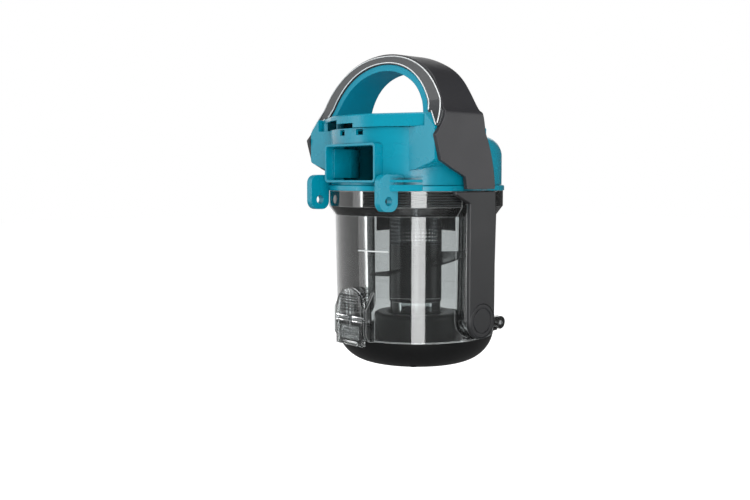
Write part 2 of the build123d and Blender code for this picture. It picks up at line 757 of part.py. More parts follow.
def side_outline(inset=0.0):
    """Handle and side panels seen from the side, pulled in by inset, on a plane left of the handle."""
    low = z_seam + parting
    with BuildSketch(Plane.YZ.offset(-half_width - 1)) as outline:
        with BuildLine():
            top = z_hoop + hoop_rise + 3
            Polyline((13, low), (-25, low), (-27, z_seam + 11.3), (-43, z_seam + 18.3), (-57,
                    z_seam + 25.3),
                     (-63.7, z_seam + 48))
            ThreePointArc((-63.7, z_seam + 48), (-54, z_seam + 62), (-47.5, z_seam + 78))
            Line((-47.5, z_seam + 78), (-41, top))
            Line((-41, top), (-10, top))
            Line((-10, top), (0, z_seam + 51))
            ThreePointArc((0, z_seam + 51), (9.5, z_seam + 25), (13, low))
        make_face()
        if inset:
            offset(amount=-inset, kind=Kind.INTERSECTION)
    return outline.sketch


def arch_face(semi_width, rise, low):
    """Front view of an arch: a slightly squared half oval over straight legs that end at low."""
    angles = [radians(180 - 20 * step) for step in range(1, 9)]
    crown = [
        (semi_width * copysign(abs(cos(angle)) ** hoop_squareness, cos(angle)),
        z_hoop + rise * sin(angle) ** hoop_squareness)
        for angle in angles
    ]
    with BuildSketch(Plane.XZ.offset(-hoop_reach)) as face:
        with BuildLine():
            Spline((-semi_width, z_hoop), *crown, (semi_width, z_hoop), tangents=((0, 1), (0, -1)))
            Polyline((semi_width, z_hoop), (semi_width, z_hoop - 60), (-semi_width, z_hoop - 60),
                    (-semi_width, z_hoop))
        make_face()
        with Locations((0, low - 100)):
            Rectangle(4 * half_width, 200, mode=Mode.SUBTRACT)
    return face.sketch


def below_slopes(low):
    """Front view of the space between the panels, under the sloping feet of the handle."""
    with BuildSketch(Plane.XZ.offset(-hoop_reach)) as face:
        with BuildLine():
            Polyline((-strap_inside, low), (strap_inside, low), (strap_inside, z_seam + 54.8),
                     (foot_half_width, plate_high + seam_line), (-foot_half_width, plate_high + seam_line),
                     (-strap_inside, z_seam + 54.8), close=True)
        make_face()
    return face.sketch


panel_low = z_seam + parting
with BuildPart() as handle_hollow:
    extrude(arch_face(half_width - panel_wall, hoop_rise - panel_wall, plate_high + 3),
            amount=2 * hoop_reach)
    extrude(side_outline(trim_thickness + handle_wall), amount=handle_span, mode=Mode.INTERSECT)

with BuildPart() as handle_shell:
    extrude(arch_face(half_width, hoop_rise, panel_low), amount=2 * hoop_reach)
    extrude(arch_face(grip_outer_width, grip_outer_rise, plate_high), amount=2 * hoop_reach,
            mode=Mode.SUBTRACT)
    extrude(below_slopes(panel_low - 1), amount=2 * hoop_reach, mode=Mode.SUBTRACT)
    extrude(side_outline(trim_thickness), amount=handle_span, mode=Mode.INTERSECT)
    add(handle_hollow.part, mode=Mode.SUBTRACT)
save(handle_shell, "handle_shell")

with BuildPart() as handle_trim:
    extrude(arch_face(half_width - trim_margin, hoop_rise - trim_margin, slope_end + 1),
            amount=2 * hoop_reach)
    extrude(arch_face(grip_outer_width + 0.8, grip_outer_rise + 0.8, plate_high), amount=2 * hoop_reach,
            mode=Mode.SUBTRACT)
    extrude(below_slopes(panel_low - 1), amount=2 * hoop_reach, mode=Mode.SUBTRACT)
    extrude(side_outline(0.1), amount=handle_span, mode=Mode.INTERSECT)
    extrude(side_outline(trim_thickness - 0.05), amount=handle_span, mode=Mode.SUBTRACT)
    # only the strip that faces forward is kept
    with BuildSketch(Plane.XY.offset(panel_low)):
        with Locations((0, trim_back - 50)):
            Rectangle(4 * half_width, 100)
    extrude(amount=200, mode=Mode.INTERSECT)
save(handle_trim, "handle_trim")

with BuildPart() as grip_insert:
    extrude(arch_face(grip_outer_width - seam_line, grip_outer_rise - seam_line, plate_high + seam_line),
            amount=2 * hoop_reach)
    extrude(arch_face(grip_width, grip_rise, plate_high), amount=2 * hoop_reach, mode=Mode.SUBTRACT)
    extrude(side_outline(trim_thickness), amount=handle_span, mode=Mode.INTERSECT)
save(grip_insert, "grip_insert")

# ================================================================ upper unit: cyclone
with BuildPart() as vortex_tube:
    floor = screen_high + 0.2
    revolve(ring((tube_radius - tube_wall, floor), (vortex_radius, floor), (vortex_radius, vortex_high),
                 (vortex_radius - 2, vortex_high), (vortex_radius - 2, floor + 2),
                 (tube_radius - tube_wall, floor + 2)),
            axis=Axis.Z)
    # closed top
    with BuildSketch(Plane.XY.offset(vortex_high - 2)):
        Circle(vortex_radius - 0.5)
    extrude(amount=2)
save(vortex_tube, "vortex_tube")

with BuildPart() as baffle:
    with BuildSketch(Plane.XY.offset(baffle_low)):
        Circle(vortex_radius)
        Circle(vortex_radius - baffle_wall, mode=Mode.SUBTRACT)
        with BuildLine():
            reach = 2 * vortex_radius
            Polyline((0, 0), (reach * cos(radians(60)), reach * sin(radians(60))), (reach, 0), (reach,
                    -reach),
                     (-reach, -reach), (reach * cos(radians(210)), reach * sin(radians(210))), close=True)
        make_face(mode=Mode.SUBTRACT)
    extrude(amount=screen_high + 0.2 - baffle_low)
save(baffle, "baffle")

with BuildPart() as lint_screen:
    revolve(ring((tube_radius - 1, screen_low), (tube_radius, screen_low), (tube_radius, screen_high),
                 (tube_radius - 1, screen_high)), axis=Axis.Z)
    # three rows of windows
    for row in range(3):
        with BuildSketch(Plane.XZ.offset(-2 * tube_radius)):
            with Locations((0, screen_low + 7 + 11 * row)):
                Rectangle(3, 7)
        extrude(amount=4 * tube_radius, mode=Mode.SUBTRACT)
        with BuildSketch(Plane.YZ.offset(-2 * tube_radius)):
            with Locations((0, screen_low + 7 + 11 * row)):
                Rectangle(3, 7)
        extrude(amount=4 * tube_radius, mode=Mode.SUBTRACT)
save(lint_screen, "lint_screen")

cup_neck = tube_radius - tube_wall - 0.15
with BuildPart() as outlet_tube:
    inner = tube_radius - tube_wall
    revolve(ring((inner, tube_low), (tube_radius, tube_low), (tube_radius, screen_low), (inner,
            screen_low)),
            axis=Axis.Z)
save(outlet_tube, "outlet_tube")

with BuildPart() as outlet_cup:
    revolve(ring((cup_outer - cup_wall, cup_low), (cup_outer, cup_low), (cup_outer, tube_low - 0.2),
                 (cup_neck, tube_low - 0.2), (cup_neck, tube_low + 5), (cup_neck - cup_wall, tube_low + 5),
                 (cup_outer - cup_wall, tube_low - 4)), axis=Axis.Z)
save(outlet_cup, "outlet_cup")

with BuildPart() as spiral_fin:
    fin_inner = tube_radius + 0.1
    fin_middle = (fin_inner + fin_outer_radius) / 2
    with BuildLine(Plane.XY.offset(fin_low)) as fin_path:
        Helix(pitch=fin_pitch, height=fin_pitch * fin_sweep / 360, radius=fin_middle)
    with BuildSketch(Plane(origin=fin_path.line @ 0, x_dir=(1, 0, 0),
            z_dir=fin_path.line % 0)) as fin_section:
        Rectangle(fin_outer_radius - fin_inner, fin_thickness)
    blade = sweep(fin_section.sketch, path=fin_path.line, is_frenet=True, mode=Mode.PRIVATE)
    add(blade.rotate(Axis.Z, fin_start))
save(spiral_fin, "spiral_fin")
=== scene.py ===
# %% [markdown]
# # A removable dust container, dressed for the studio
# The container is a clear bin with a hinged lid below and a cyclone unit with a carrying handle
# above. Its shapes come from the solid model, which is loaded as a fixed frame. This lesson gives
# each piece its finish, and adds the small pieces that the solid model leaves plain: the
# perforated lint screen, the recessed screws, pale beads on the handle's edges that are painted
# highlights, round noses on the ribs of the push-fit ring, painted pale as highlights, the fill
# line, painted pale as a reflection, and the ridges and studs of the release button.

# %% Load the frame
import json
from math import asin, cos, pi, radians, sin

import bmesh
import bpy
from mathutils import Matrix, Vector

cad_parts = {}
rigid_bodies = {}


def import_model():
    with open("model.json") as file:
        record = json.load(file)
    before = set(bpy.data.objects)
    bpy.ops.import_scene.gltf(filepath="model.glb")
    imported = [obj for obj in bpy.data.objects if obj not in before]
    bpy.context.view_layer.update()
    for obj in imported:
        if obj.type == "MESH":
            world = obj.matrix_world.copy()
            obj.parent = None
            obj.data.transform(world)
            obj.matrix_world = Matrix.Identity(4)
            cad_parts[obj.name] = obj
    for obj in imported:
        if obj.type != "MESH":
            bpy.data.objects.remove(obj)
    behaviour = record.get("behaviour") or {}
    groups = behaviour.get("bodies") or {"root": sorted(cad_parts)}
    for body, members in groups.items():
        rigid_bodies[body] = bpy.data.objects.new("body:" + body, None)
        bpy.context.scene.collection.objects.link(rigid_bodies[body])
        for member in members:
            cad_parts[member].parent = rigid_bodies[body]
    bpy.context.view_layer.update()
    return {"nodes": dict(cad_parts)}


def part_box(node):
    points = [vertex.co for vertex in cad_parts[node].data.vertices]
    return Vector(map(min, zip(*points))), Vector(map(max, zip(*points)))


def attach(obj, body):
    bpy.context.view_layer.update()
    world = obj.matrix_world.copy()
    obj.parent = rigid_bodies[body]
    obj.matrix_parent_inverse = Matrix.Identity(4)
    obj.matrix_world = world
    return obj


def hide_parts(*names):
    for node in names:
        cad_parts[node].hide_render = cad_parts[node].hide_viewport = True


for leftover in list(bpy.data.objects):
    bpy.data.objects.remove(leftover)
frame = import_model()
MM = 0.001

# %% [markdown]
# ## Helpers
# Colours are easiest to pick as screen colours, but shaders work in linear light, so one function
# turns a hex value into linear light. A second adds a node with its settings, values and links in
# one call, which keeps every tree in this lesson readable from top to bottom.


# %% Colour and node helpers
def colour(code):
    """Linear colour of an sRGB hex value such as #3A6EA5."""
    shares = [int(code[at:at + 2], 16) / 255 for at in (1, 3, 5)]
    return (*[s / 12.92 if s <= 0.04045 else ((s + 0.055) / 1.055) ** 2.4 for s in shares], 1.0)


def put(tree, kind, inputs=None, **settings):
    """Adds one node with its settings, and sets or links its inputs."""
    made = tree.nodes.new(kind)
    for name, value in settings.items():
        setattr(made, name, value)
    for name, value in (inputs or {}).items():
        if isinstance(value, bpy.types.NodeSocket):
            tree.links.new(value, made.inputs[name])
        else:
            made.inputs[name].default_value = value
    return made


def new_material(name):
    """An empty material and its tree, ready for nodes."""
    material = bpy.data.materials.new(name)
    material.use_nodes = True
    material.node_tree.nodes.clear()
    return material, material.node_tree


TEAL = "#00879E"
WHITE = "#FFFFFF"
print("teal in linear light:", [round(share, 3) for share in colour(TEAL)])

# %% [markdown]
# ## Moulded plastic
# Nearly every opaque piece is injection-moulded ABS. Three things tell the eye so: a faint
# orange-peel waviness from the tool, a fine grain if the tool was spark-eroded, and edges that
# are never sharp, because steel tools have small radii. The waviness and the grain are bump from
# noise, at sizes in millimetres. The rounded edges come from the Bevel node, which softens the
# shading of the solid model's edges without touching its mesh. The same node finds the edges, so
# that they can be a touch lighter, as handled plastic is.
# On the ribbed ring and its rib noses, the paler edges are also a painted highlight.

# %% A recipe for moulded plastic
PEEL_SIZE = 9 * MM      # waves of the orange peel
PATCH_SIZE = 28 * MM    # patches that are a little more or less glossy
EDGE_SAMPLES = 4


def moulded(name, base, worn_and_lit_edge, roughness, grain_mm, grain_depth, edge_mm=0.5, peel_depth=0.02,
            specular=0.5, coat=0.0):
    """Moulded plastic with grain, orange peel and softened edges painted paler, as wear and, on
    some pieces, as a painted highlight.
    """
    material, tree = new_material(name)
    place = put(tree, "ShaderNodeTexCoord").outputs["Object"]
    peel = put(tree, "ShaderNodeTexNoise", {
        "Vector": place, "Scale": 1 / PEEL_SIZE, "Detail": 1.0})
    grain = put(tree, "ShaderNodeTexNoise", {
        "Vector": place, "Scale": 1 / (grain_mm * MM), "Detail": 2.0})
    patch = put(tree, "ShaderNodeTexNoise", {
        "Vector": place, "Scale": 1 / PATCH_SIZE, "Detail": 3.0})
    soft_edge = put(tree, "ShaderNodeBevel", {"Radius": edge_mm * MM}, samples=EDGE_SAMPLES)
    waves = put(tree, "ShaderNodeBump", {
        "Height": peel.outputs["Fac"], "Normal": soft_edge.outputs["Normal"],
        "Distance": peel_depth * MM, "Strength": 1.0})
    surface = put(tree, "ShaderNodeBump", {
        "Height": grain.outputs["Fac"], "Normal": waves.outputs["Normal"],
        "Distance": grain_depth * MM, "Strength": 1.0})
    flat = put(tree, "ShaderNodeNewGeometry").outputs["Normal"]
    turned = put(tree, "ShaderNodeVectorMath", {0: soft_edge.outputs["Normal"], 1: flat},
                 operation="DOT_PRODUCT")
    # edge mask: paler edges as wear, and on the ribbed ring as a painted highlight
    worn_and_lit_share = put(tree, "ShaderNodeMapRange", {
        "Value": turned.outputs["Value"], "From Min": 0.995, "From Max": 0.86,
        "To Min": 0.0, "To Max": 0.5})
    body = put(tree, "ShaderNodeMix", {
        "Factor": worn_and_lit_share.outputs["Result"], "A": colour(base), "B": colour(worn_and_lit_edge)},
        data_type="RGBA")
    matt = put(tree, "ShaderNodeMapRange", {
        "Value": patch.outputs["Fac"], "From Min": 0.3, "From Max": 0.7,
        "To Min": roughness - 0.015, "To Max": roughness + 0.02})
    shader = put(tree, "ShaderNodeBsdfPrincipled", {
        "Base Color": body.outputs["Result"], "Roughness": matt.outputs["Result"],
        "Normal": surface.outputs["Normal"], "IOR": 1.53, "Specular IOR Level": specular,
        "Coat Weight": coat, "Coat Roughness": 0.08})
    put(tree, "ShaderNodeOutputMaterial", {"Surface": shader.outputs["BSDF"]})
    return material


# %% Opaque plastics
# glossy teal ABS from a polished tool: clean long reflections and a faint waviness
teal_abs = moulded("teal_abs_polished", TEAL, "#27AECB", 0.27, 0.8, 0.003, peel_depth=0.01,
                   specular=0.35, coat=0.08)
# soft teal elastomer, moulded over the handle: matt, with a fine stipple that grips
teal_elastomer = moulded("teal_elastomer_stippled", "#0089A2", "#1FA0BA", 0.5, 0.7, 0.03,
                         edge_mm=1.0, specular=0.3)
# graphite ABS from a spark-eroded tool: satin, with a fine leathery grain
graphite_abs = moulded("graphite_abs_grained", "#2B2B2E", "#57595C", 0.40, 0.6, 0.008,
                       edge_mm=0.9)
# darker graphite ABS of the straps: same grain, less light
strap_abs = moulded("dark_abs_grained", "#1F2022", "#46484B", 0.44, 0.6, 0.006, edge_mm=0.7)
# satin grey paint over the handle's front band: fine and even, under a thin clear coat
band_paint = moulded("satin_grey_paint", "#3A3C3E", "#8E9193", 0.3, 0.8, 0.002, edge_mm=0.45,
                     coat=0.2)
# black ABS of the lid: deep, with a soft sheen
lid_abs = moulded("black_abs_satin", "#0A0B0C", "#232526", 0.38, 0.6, 0.008, edge_mm=0.8,
                  specular=0.35)
# glossy black ABS of the cyclone: narrow bright highlights on round walls
cyclone_abs = moulded("black_abs_glossy", "#0A0B0C", "#26282A", 0.2, 0.9, 0.0008, edge_mm=0.4,
                      peel_depth=0.004)
# black ABS of the ribbed ring behind the clear collar, its edges painted pale: partly wear, partly
# a painted highlight on the ribs
ring_abs = moulded("black_abs_ring", "#0E0F10", "#8E9193", 0.2, 0.8, 0.003, edge_mm=0.35)
# seals of black nitrile rubber: matt, with hardly any reflection
nitrile = moulded("black_nitrile_rubber", "#161616", "#2A2A2A", 0.62, 0.5, 0.02, edge_mm=0.3,
                  specular=0.3)
# bright edge line of the handle: a bead painted near white as a highlight, which stays pale from
# every side
highlight_bead_finish = moulded("near_white_bead_painted_highlight", "#D9DCDD", "#F2F4F4", 0.3, 0.8, 0.002, edge_mm=0.2,
                 coat=0.3)
print("opaque plastics made:", [m.name for m in (
    teal_abs, teal_elastomer, graphite_abs, strap_abs, band_paint, lid_abs, cyclone_abs, ring_abs,
    nitrile, highlight_bead_finish)])

# %% [markdown]
# ## Steel
# The screws are zinc-plated, the pins are ground bright, and the spring is drawn wire. Metal has
# no colour under its reflection, so the base colour is the reflection's own tint, and the way
# the surface was made shows as roughness that runs in one direction or in spangles.


# %% A recipe for bright steel
def steel(name, tint, roughness, stretch, mark_mm):
    """Bright steel whose fine marks are stretched along one axis."""
    material, tree = new_material(name)
    place = put(tree, "ShaderNodeTexCoord").outputs["Object"]
    drawn = put(tree, "ShaderNodeMapping", {"Vector": place, "Scale": stretch})
    marks = put(tree, "ShaderNodeTexNoise", {
        "Vector": drawn.outputs["Vector"], "Scale": 1 / (mark_mm * MM), "Detail": 4.0})
    spread = put(tree, "ShaderNodeMapRange", {
        "Value": marks.outputs["Fac"], "From Min": 0.3, "From Max": 0.7,
        "To Min": roughness - 0.08, "To Max": roughness + 0.1})
    raised = put(tree, "ShaderNodeBump", {
        "Height": marks.outputs["Fac"], "Distance": 0.004 * MM, "Strength": 1.0})
    shader = put(tree, "ShaderNodeBsdfPrincipled", {
        "Base Color": colour(tint), "Metallic": 1.0, "Roughness": spread.outputs["Result"],
        "Normal": raised.outputs["Normal"]})
    put(tree, "ShaderNodeOutputMaterial", {"Surface": shader.outputs["BSDF"]})
    return material


EVEN, ALONG_X, ALONG_Z = (1, 1, 1), (0.1, 1, 1), (1, 1, 0.1)
zinc = steel("zinc_plated_steel", "#C8CACC", 0.32, EVEN, 0.8)
ground = steel("ground_steel", "#BFC1C3", 0.22, ALONG_X, 0.5)
drawn_wire = steel("drawn_spring_steel", "#9A9C9E", 0.28, ALONG_Z, 0.4)
# screen: taken to be blackened stainless sheet, so that only its highlights show the holes
blackened = steel("blackened_stainless_sheet", "#5C5E60", 0.26, EVEN, 0.6)
print("steels made:", [m.name for m in (zinc, ground, drawn_wire, blackened)])

# %% [markdown]
# ## Clear plastic
# The bin is styrene-acrylonitrile with a smoke tint. Light is lost on its way through the wall,
# and more of it where the wall is seen at a slant, so the outline is darker than the middle.
# A thin wall hardly bends light, so a transparent shader with a slant-driven tint stands for the
# inside, and a glossy shader mixed in by Fresnel stands for its polished faces. Real refraction
# would cost far more time and would darken everything behind it. Edges gather light and look
# paler, so the Bevel node finds them and mixes in a pale solid surface: a painted highlight along
# the edges, and a faint pale wash over the rest of the wall.

# %% A recipe for thin clear walls
WALL_FLOW = 14 * MM     # waves left by the flow of the melt
WALL_EDGE = 0.8 * MM


def clear_wall(name, through, slanted, gloss, ior=1.57):
    """Thin clear wall: tinted light through it, and a polished reflection on it."""
    material, tree = new_material(name)
    place = put(tree, "ShaderNodeTexCoord").outputs["Object"]
    flow = put(tree, "ShaderNodeTexNoise", {
        "Vector": place, "Scale": 1 / WALL_FLOW, "Detail": 1.0})
    waves = put(tree, "ShaderNodeBump", {
        "Height": flow.outputs["Fac"], "Distance": 0.008 * MM, "Strength": 1.0})
    slant = put(tree, "ShaderNodeLayerWeight", {"Blend": 0.35})
    depth = put(tree, "ShaderNodeMapRange", {
        "Value": slant.outputs["Facing"], "From Min": 0.15, "From Max": 0.95})
    tint = put(tree, "ShaderNodeMix", {
        "Factor": depth.outputs["Result"], "A": colour(through), "B": colour(slanted)},
        data_type="RGBA")
    inside = put(tree, "ShaderNodeBsdfTransparent", {"Color": tint.outputs["Result"]})
    # pale solid surface of the painted edge highlight
    edge_highlight_surface = put(tree, "ShaderNodeBsdfPrincipled", {
        "Base Color": colour("#DDE2E2"), "Roughness": gloss, "IOR": ior,
        "Normal": waves.outputs["Normal"]})
    mirror = put(tree, "ShaderNodeBsdfGlossy", {
        "Color": colour(WHITE), "Roughness": gloss, "Normal": waves.outputs["Normal"]})
    share = put(tree, "ShaderNodeFresnel", {"IOR": ior, "Normal": waves.outputs["Normal"]})
    soft_edge = put(tree, "ShaderNodeBevel", {"Radius": WALL_EDGE}, samples=EDGE_SAMPLES)
    flat = put(tree, "ShaderNodeNewGeometry").outputs["Normal"]
    turned = put(tree, "ShaderNodeVectorMath", {0: soft_edge.outputs["Normal"], 1: flat},
                 operation="DOT_PRODUCT")
    # painted highlight: much of the pale surface on the edges, a faint wash over the rest
    edge_highlight_share = put(tree, "ShaderNodeMapRange", {
        "Value": turned.outputs["Value"], "From Min": 0.99, "From Max": 0.8,
        "To Min": 0.012, "To Max": 0.85})
    body = put(tree, "ShaderNodeMixShader", {
        0: edge_highlight_share.outputs["Result"], 1: inside.outputs["BSDF"], 2: edge_highlight_surface.outputs["BSDF"]})
    whole = put(tree, "ShaderNodeMixShader", {
        0: share.outputs["Fac"], 1: body.outputs["Shader"], 2: mirror.outputs["BSDF"]})
    put(tree, "ShaderNodeOutputMaterial", {"Surface": whole.outputs["Shader"]})
    return material


# %% Smoke-tinted and clear plastics
POLYCARBONATE_IOR = 1.585


def solid_glass(name, tint, ior):
    """Thick clear plastic that bends light, for small chunky pieces."""
    material, tree = new_material(name)
    place = put(tree, "ShaderNodeTexCoord").outputs["Object"]
    flow = put(tree, "ShaderNodeTexNoise", {
        "Vector": place, "Scale": 1 / (5 * MM), "Detail": 1.0})
    soft_edge = put(tree, "ShaderNodeBevel", {"Radius": 0.6 * MM}, samples=EDGE_SAMPLES)
    waves = put(tree, "ShaderNodeBump", {
        "Height": flow.outputs["Fac"], "Normal": soft_edge.outputs["Normal"],
        "Distance": 0.05 * MM, "Strength": 1.0})
    shader = put(tree, "ShaderNodeBsdfPrincipled", {
        "Base Color": colour(tint), "Roughness": 0.05, "IOR": ior, "Transmission Weight": 1.0,
        "Normal": waves.outputs["Normal"]})
    put(tree, "ShaderNodeOutputMaterial", {"Surface": shader.outputs["BSDF"]})
    return material


# smoke-tinted SAN: light grey through one face, darker at a slant
smoke_san = clear_wall("smoke_tinted_san", "#E8EAEA", "#A9AEAF", 0.06)
# water-clear polycarbonate of the cup
clear_cup = clear_wall("clear_polycarbonate", "#EEF1F1", "#B9BFC0", 0.06, ior=POLYCARBONATE_IOR)
# thick polycarbonate of the release button: its facets and ribs glitter
button_pc = solid_glass("thick_clear_polycarbonate", "#F4F7F7", POLYCARBONATE_IOR)
print("clear plastics made:", [m.name for m in (smoke_san, clear_cup, button_pc)])

# %% [markdown]
# ## Finishes on the solid model
# Each node of the frame names its material slot, so one table from slot to finish dresses them
# all. The mesh and the place of each node stay exactly as they are.

# %% Dress the frame
FINISHES = {
    "smoke_clear": smoke_san, "button_clear": button_pc, "cup_clear": clear_cup,
    "teal_plastic": teal_abs, "grip_plastic": teal_elastomer, "handle_plastic": graphite_abs,
    "trim_plastic": band_paint, "strap_plastic": strap_abs, "lid_plastic": lid_abs,
    "cyclone_plastic": cyclone_abs, "ring_plastic": ring_abs, "seal_rubber": nitrile,
    "screw_steel": zinc, "pin_steel": ground, "spring_steel": drawn_wire,
    "screen_steel": blackened,
}
for name, solid in frame["nodes"].items():
    for slot in solid.material_slots:
        slot.material = FINISHES[slot.material.name.split(".")[0]]
print("dressed", len(frame["nodes"]), "nodes in", len(FINISHES), "finishes")

# %% [markdown]
# ## Geometry Nodes, the short way
# A tree that makes geometry has named inputs for its sizes. It is run once on a carrier object,
# its result is kept as a plain mesh, and the modifier is taken off again, so that nothing live is
# left to surprise a later step or an export.

# %% Tree helpers
LENGTH = "NodeSocketFloat"
COUNT = "NodeSocketInt"
MATERIAL = "NodeSocketMaterial"


def new_tree(name, **sizes):
    """A geometry tree with one named input for each size, and its input sockets."""
    tree = bpy.data.node_groups.new(name, "GeometryNodeTree")
    tree.interface.new_socket("Geometry", in_out="INPUT", socket_type="NodeSocketGeometry")
    for label, kind in sizes.items():
        tree.interface.new_socket(label, in_out="INPUT", socket_type=kind)
    tree.interface.new_socket("Geometry", in_out="OUTPUT", socket_type="NodeSocketGeometry")
    return tree, put(tree, "NodeGroupInput").outputs


def grow(name, tree, start, **values):
    """Runs a tree on a start mesh and keeps its result as a plain mesh."""
    carrier = bpy.data.objects.new(name, start)
    bpy.context.collection.objects.link(carrier)
    maker = carrier.modifiers.new("maker", "NODES")
    maker.node_group = tree
    for item in tree.interface.items_tree:
        if item.in_out == "INPUT" and item.name in values:
            maker[item.identifier] = values[item.name]
    ready = carrier.evaluated_get(bpy.context.evaluated_depsgraph_get())
    plain = bpy.data.meshes.new_from_object(ready)
    plain.name = name
    carrier.modifiers.remove(maker)
    carrier.data = plain
    print(name, "has", len(plain.polygons), "faces")
    return carrier


print("inputs a tree can have:", LENGTH, COUNT, MATERIAL)

# %% [markdown]
# ## Lint screen
# The screen is drawn as a thin sheet with rows of holes, rolled into a tube. It could be one
# tube with holes cut by booleans, but hundreds of booleans are slow and fragile. Instead one
# small square with a hole in it is repeated on a flat grid, the grid is rolled up by a formula,
# and the sheet then gets its thickness. The holes are coarser than real ones, so that they show.

# %% One square with a hole
screen_low, screen_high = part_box("lint_screen")
screen_radius = screen_high.x
screen_height = screen_high.z - screen_low.z
SHEET = 0.6 * MM
HOLES_ROUND = 44
HOLE_SHARE = 0.36       # radius of a hole as a share of the pitch
HOLE_CORNERS = 8
hole_pitch = 2 * pi * screen_radius / HOLES_ROUND
hole_rows = round(screen_height / hole_pitch)


def holed_square(side, hole):
    """A flat square with an eight-sided hole."""
    mesh = bpy.data.meshes.new("holed_square")
    bm = bmesh.new()
    rim = []
    for corner in range(HOLE_CORNERS):
        turn = corner * 2 * pi / HOLE_CORNERS
        reach = side / 2 / max(abs(cos(turn)), abs(sin(turn)))
        rim.append((bm.verts.new((reach * cos(turn), reach * sin(turn), 0)),
                    bm.verts.new((hole * cos(turn), hole * sin(turn), 0))))
    for (outer, inner), (next_outer, next_inner) in zip(rim, rim[1:] + rim[:1]):
        bm.faces.new((outer, next_outer, next_inner, inner))
    bm.to_mesh(mesh)
    bm.free()
    return mesh


print("hole pitch in mm:", round(hole_pitch / MM, 2), "rows:", hole_rows)

# %% Lay the squares out flat
tree, given = new_tree("rolled_screen", Around=COUNT, Rows=COUNT, Radius=LENGTH, Height=LENGTH,
                       Low=LENGTH, Sheet=LENGTH)
last_round = put(tree, "ShaderNodeMath", {0: given["Around"], 1: 1.0}, operation="SUBTRACT")
last_row = put(tree, "ShaderNodeMath", {0: given["Rows"], 1: 1.0}, operation="SUBTRACT")
full_turn = put(tree, "ShaderNodeMath", {0: given["Radius"], 1: 2 * pi}, operation="MULTIPLY")
width_share = put(tree, "ShaderNodeMath", {0: last_round.outputs[0], 1: given["Around"]},
                  operation="DIVIDE")
grid_width = put(tree, "ShaderNodeMath", {0: full_turn.outputs[0], 1: width_share.outputs[0]},
                 operation="MULTIPLY")
height_share = put(tree, "ShaderNodeMath", {0: last_row.outputs[0], 1: given["Rows"]},
                   operation="DIVIDE")
grid_height = put(tree, "ShaderNodeMath", {0: given["Height"], 1: height_share.outputs[0]},
                  operation="MULTIPLY")
grid = put(tree, "GeometryNodeMeshGrid", {
    "Size X": grid_width.outputs[0], "Size Y": grid_height.outputs[0],
    "Vertices X": given["Around"], "Vertices Y": given["Rows"]})
squares = put(tree, "GeometryNodeInstanceOnPoints", {
    "Points": grid.outputs["Mesh"], "Instance": given["Geometry"]})
flat_sheet = put(tree, "GeometryNodeRealizeInstances", {"Geometry": squares.outputs["Instances"]})
print("flat layout has", len(tree.nodes), "nodes")

# %% Roll the sheet up
position = put(tree, "GeometryNodeInputPosition").outputs["Position"]
here = put(tree, "ShaderNodeSeparateXYZ", {"Vector": position})
angle = put(tree, "ShaderNodeMath", {0: here.outputs["X"], 1: given["Radius"]},
            operation="DIVIDE")
across = put(tree, "ShaderNodeMath", {0: angle.outputs[0]}, operation="COSINE")
along = put(tree, "ShaderNodeMath", {0: angle.outputs[0]}, operation="SINE")
inner_radius = put(tree, "ShaderNodeMath", {0: given["Radius"], 1: given["Sheet"]},
                   operation="SUBTRACT")
rolled_x = put(tree, "ShaderNodeMath", {0: across.outputs[0], 1: inner_radius.outputs[0]},
               operation="MULTIPLY")
rolled_y = put(tree, "ShaderNodeMath", {0: along.outputs[0], 1: inner_radius.outputs[0]},
               operation="MULTIPLY")
half_height = put(tree, "ShaderNodeMath", {0: given["Height"], 1: 0.5, 2: given["Low"]},
                  operation="MULTIPLY_ADD")
rolled_z = put(tree, "ShaderNodeMath", {0: here.outputs["Y"], 1: half_height.outputs[0]},
               operation="ADD")
rolled = put(tree, "ShaderNodeCombineXYZ", {
    "X": rolled_x.outputs[0], "Y": rolled_y.outputs[0], "Z": rolled_z.outputs[0]})
tube = put(tree, "GeometryNodeSetPosition", {
    "Geometry": flat_sheet.outputs["Geometry"], "Position": rolled.outputs[0]})
closed = put(tree, "GeometryNodeMergeByDistance", {
    "Geometry": tube.outputs["Geometry"], "Distance": 0.05 * MM})
print("rolled layout has", len(tree.nodes), "nodes")

# %% Thicken the sheet
raised = put(tree, "GeometryNodeExtrudeMesh", {
    "Mesh": closed.outputs["Geometry"], "Offset Scale": given["Sheet"], "Individual": False})
back = put(tree, "GeometryNodeFlipFaces", {"Mesh": closed.outputs["Geometry"]})
both = put(tree, "GeometryNodeJoinGeometry")
tree.links.new(raised.outputs["Mesh"], both.inputs[0])
tree.links.new(back.outputs["Mesh"], both.inputs[0])
sheet = put(tree, "GeometryNodeMergeByDistance", {
    "Geometry": both.outputs["Geometry"], "Distance": 0.02 * MM})
coated = put(tree, "GeometryNodeSetMaterial", {
    "Geometry": sheet.outputs["Geometry"], "Material": blackened})
put(tree, "NodeGroupOutput", {"Geometry": coated.outputs["Geometry"]})

perforated = grow("perforated_screen", tree, holed_square(hole_pitch, HOLE_SHARE * hole_pitch),
                  Around=HOLES_ROUND, Rows=hole_rows, Radius=screen_radius,
                  Height=screen_height, Low=screen_low.z, Sheet=SHEET)
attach(perforated, "upper_unit")
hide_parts("lint_screen")

# %% [markdown]
# ## Screws
# Small self-tapping screws with a cross recess hold the top plate and the lid's inner plate. A
# head is a short cone with its recess cut by two crossed bars, and one tree cuts it and sets a
# copy on each corner of a rectangle.

# %% One screw with a cross recess
HEAD_RADIUS = 3.2 * MM
HEAD_TAPER = 0.78       # top of the head as a share of its foot
HEAD_HEIGHT = 1.1 * MM
SHANK_RADIUS = 1.5 * MM
RECESS_LENGTH, RECESS_WIDTH, RECESS_DEPTH = 3.6 * MM, 0.75 * MM, 1.4 * MM

